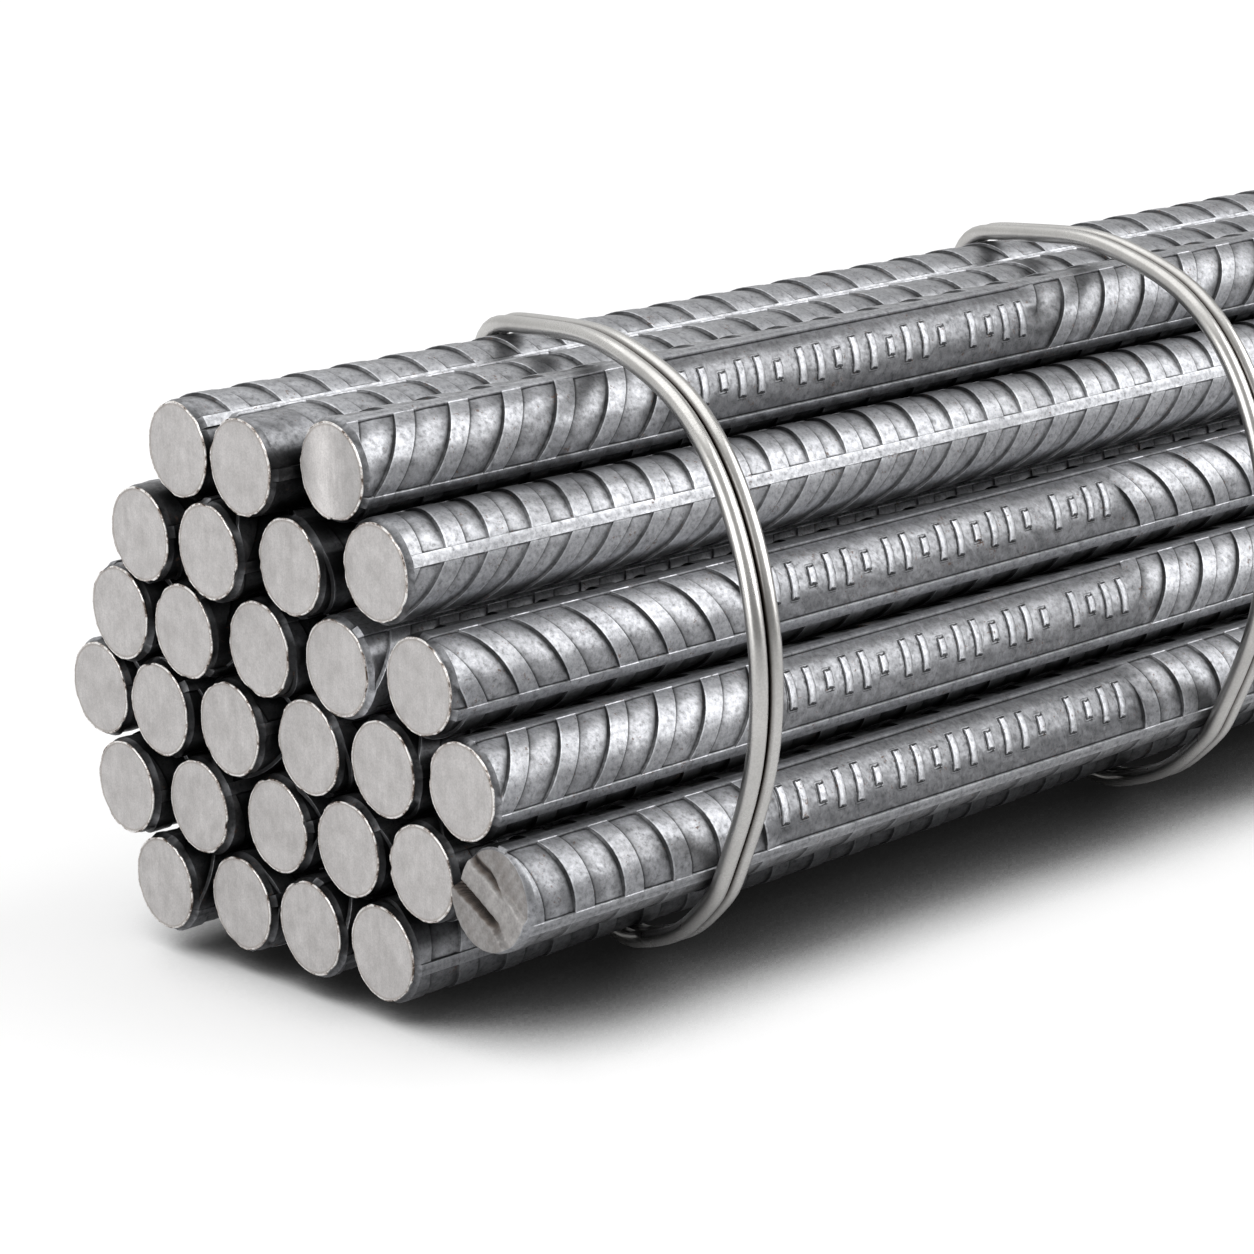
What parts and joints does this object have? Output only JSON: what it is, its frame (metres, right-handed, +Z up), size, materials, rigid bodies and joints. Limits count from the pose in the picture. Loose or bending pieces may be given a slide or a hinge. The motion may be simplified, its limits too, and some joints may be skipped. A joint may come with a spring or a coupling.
{
  "type": "rebar bundle",
  "caption": "Bundle of straight ribbed steel reinforcing bars in a hexagonal stack, held together by doubled loops of round wire.",
  "frame": {"origin": "middle of the bundle's underside, level with the floor it lies on", "axes": "+X along the bars, from the staggered ends the picture shows towards the far ends; +Z up; -Y is the side where the ties stand off the bars"},
  "size_m": [3.0118, 0.1678, 0.1317],
  "materials": {
    "bar_steel": "semi-gloss grey mill surface, pale sawn ends",
    "tie_wire": "bright satin"
  },
  "bodies": {
    "root": {"bar_1a": "bar_steel", "bar_1b": "bar_steel", "bar_1c": "bar_steel", "bar_2a": "bar_steel", "bar_2b": "bar_steel", "bar_2c": "bar_steel", "bar_2d": "bar_steel", "bar_3a": "bar_steel", "bar_3b": "bar_steel", "bar_3c": "bar_steel", "bar_3d": "bar_steel", "bar_3e": "bar_steel", "bar_4a": "bar_steel", "bar_4b": "bar_steel", "bar_4c": "bar_steel", "bar_4d": "bar_steel", "bar_4e": "bar_steel", "bar_4f": "bar_steel", "bar_5a": "bar_steel", "bar_5b": "bar_steel", "bar_5c": "bar_steel", "bar_5d": "bar_steel", "bar_5e": "bar_steel", "bar_5f": "bar_steel", "bar_6a": "bar_steel", "bar_6b": "bar_steel", "bar_6c": "bar_steel", "bar_6d": "bar_steel", "tie_1": "tie_wire", "tie_2": "tie_wire", "tie_3": "tie_wire", "tie_4": "tie_wire", "tie_5": "tie_wire", "tie_6": "tie_wire"}
  },
  "joints": []
}
